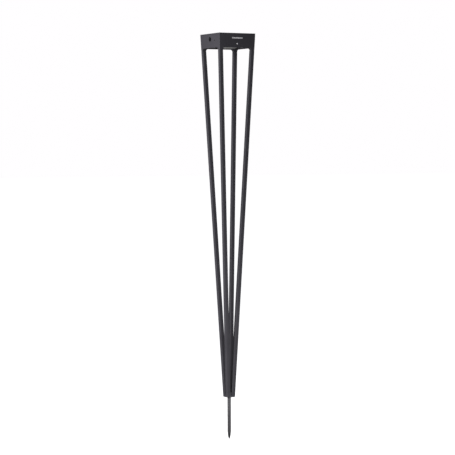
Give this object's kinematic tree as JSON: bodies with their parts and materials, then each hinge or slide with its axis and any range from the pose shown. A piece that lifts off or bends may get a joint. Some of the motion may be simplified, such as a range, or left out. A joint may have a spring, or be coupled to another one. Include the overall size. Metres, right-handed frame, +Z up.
{
  "type": "solar garden torch light",
  "caption": "Square lamp head with a lift-out solar LED module on straight tapering legs, a small foot and a screw-in ground spike.",
  "frame": {"origin": "on the spike's axis at the foot block's underside, which is the ground line", "axes": "+Z up along the torch, -Y to the front with the status lens, -X to the side with the push button"},
  "size_m": [0.125, 0.125, 1.248],
  "materials": {
    "anthracite_paint": "fine matt powder coat",
    "stainless_steel": "satin",
    "black_plastic": "moulded, matt",
    "rubber": "matt",
    "clear": "clear",
    "solar_cells": "dark laminate",
    "battery_wrap": "shrink sleeve",
    "circuit_board": "solder resist",
    "chip_black": "matt",
    "status_lamp": "clear resin",
    "aluminium": "mill finish",
    "white_plastic": "satin white",
    "led_phosphor": "yellow silicone",
    "opal": "opal satin",
    "wire_red": "insulation",
    "wire_yellow": "insulation"
  },
  "bodies": {
    "frame": {"head_collar": "anthracite_paint", "foot_block": "anthracite_paint", "status_lens": "clear", "lock_screw": "stainless_steel", "leg_front_left": "anthracite_paint", "head_plug_front_left": "stainless_steel", "foot_plug_front_left": "stainless_steel", "head_screw_front_left": "stainless_steel", "foot_screw_front_left": "stainless_steel", "leg_front_right": "anthracite_paint", "head_plug_front_right": "stainless_steel", "foot_plug_front_right": "stainless_steel", "head_screw_front_right": "stainless_steel", "foot_screw_front_right": "stainless_steel", "leg_rear_left": "anthracite_paint", "head_plug_rear_left": "stainless_steel", "foot_plug_rear_left": "stainless_steel", "head_screw_rear_left": "stainless_steel", "foot_screw_rear_left": "stainless_steel", "leg_rear_right": "anthracite_paint", "head_plug_rear_right": "stainless_steel", "foot_plug_rear_right": "stainless_steel", "head_screw_rear_right": "stainless_steel", "foot_screw_rear_right": "stainless_steel"},
    "lamp_module": {"battery_cell_rear": "battery_wrap", "battery_cell_right": "battery_wrap", "battery_cradle_rear": "black_plastic", "battery_cradle_right": "black_plastic", "battery_lead_rear": "chip_black", "battery_lead_right": "chip_black", "bezel_gasket": "rubber", "bezel_screw_front_left": "stainless_steel", "bezel_screw_front_right": "stainless_steel", "bezel_screw_rear_left": "stainless_steel", "bezel_screw_rear_right": "stainless_steel", "control_board": "circuit_board", "control_chip": "chip_black", "diffuser": "opal", "diffuser_ring": "black_plastic", "diffuser_seal": "rubber", "drive_coil": "chip_black", "heat_spreader": "aluminium", "led_board": "white_plastic", "led_chip": "led_phosphor", "led_lead": "wire_yellow", "light_pipe": "clear", "module_housing": "white_plastic", "push_switch": "stainless_steel", "reflector": "white_plastic", "ring_screw_1": "stainless_steel", "ring_screw_2": "stainless_steel", "ring_screw_3": "stainless_steel", "solar_cells": "solar_cells", "solar_glass": "clear", "solar_lead": "wire_red", "status_led": "status_lamp", "top_bezel": "anthracite_paint"},
    "button": {"button_cap": "rubber"},
    "washer": {"spike_washer": "stainless_steel"},
    "spike": {"ground_spike": "stainless_steel"}
  },
  "joints": [
    {"name": "module_lift", "type": "slide", "parent": "frame", "child": "lamp_module", "axis": [0, 0, 1], "range_m": [0, 0.05]},
    {"name": "button_press", "type": "slide", "parent": "lamp_module", "child": "button", "axis": [1, 0, 0], "range_m": [0, 0.0012], "stiffness_N_per_m": 400, "springref_m": -0.001},
    {"name": "washer_drop", "type": "slide", "parent": "frame", "child": "washer", "axis": [0, 0, -1], "range_m": [0, 0.01375]},
    {"name": "spike_unscrew", "type": "hinge", "parent": "washer", "child": "spike", "pos_m": [0, 0, 0], "axis": [0, 0, -1], "range_deg": [0, 3960.6]}
  ],
  "couplings": [
    {"joint": "spike_unscrew", "follows": "washer_drop", "rad_per_m": 5026.5}
  ]
}
